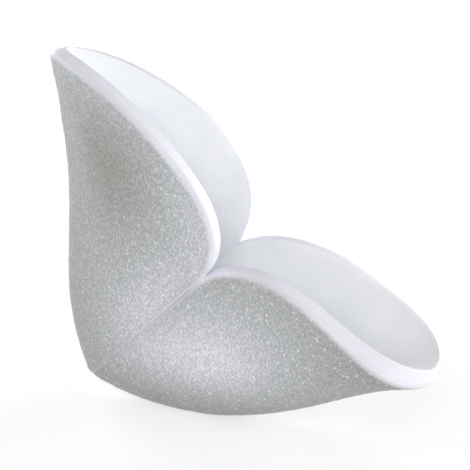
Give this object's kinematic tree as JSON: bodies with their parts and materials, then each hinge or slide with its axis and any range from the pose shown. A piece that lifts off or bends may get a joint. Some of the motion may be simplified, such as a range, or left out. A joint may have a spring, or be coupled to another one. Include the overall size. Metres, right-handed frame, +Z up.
{
  "type": "back protector",
  "caption": "Foldable foam back protector insert: two deep cupped foam lobes with rounded tips, joined by a living hinge at one outer corner.",
  "frame": {"origin": "centre of the whole object's box, at the flat face that it rests on", "axes": "+X across the lobes, -Y towards the tip of the lower lobe, +Z up, along the upper lobe"},
  "size_m": [0.0908, 0.2519, 0.2312],
  "materials": {
    "coarse_foam": "matt, closed-cell foam with open-cut coarse cells",
    "smooth_foam": "matt, fine closed-cell foam with a smooth skin",
    "sealed_edge": "satin, heat-sealed foam edge"
  },
  "bodies": {
    "lower": {"lower_outer_shell": "coarse_foam", "lower_inner_liner": "smooth_foam", "lower_edge_band": "sealed_edge", "fold_web": "sealed_edge"},
    "upper": {"upper_outer_shell": "coarse_foam", "upper_inner_liner": "smooth_foam", "upper_edge_band": "sealed_edge"}
  },
  "joints": [
    {"name": "fold", "type": "hinge", "parent": "lower", "child": "upper", "pos_m": [0, 0.10326, 0.0123], "axis": [-1, 0, 0], "range_deg": [0, 85], "stiffness_Nm_per_rad": 0.08}
  ]
}
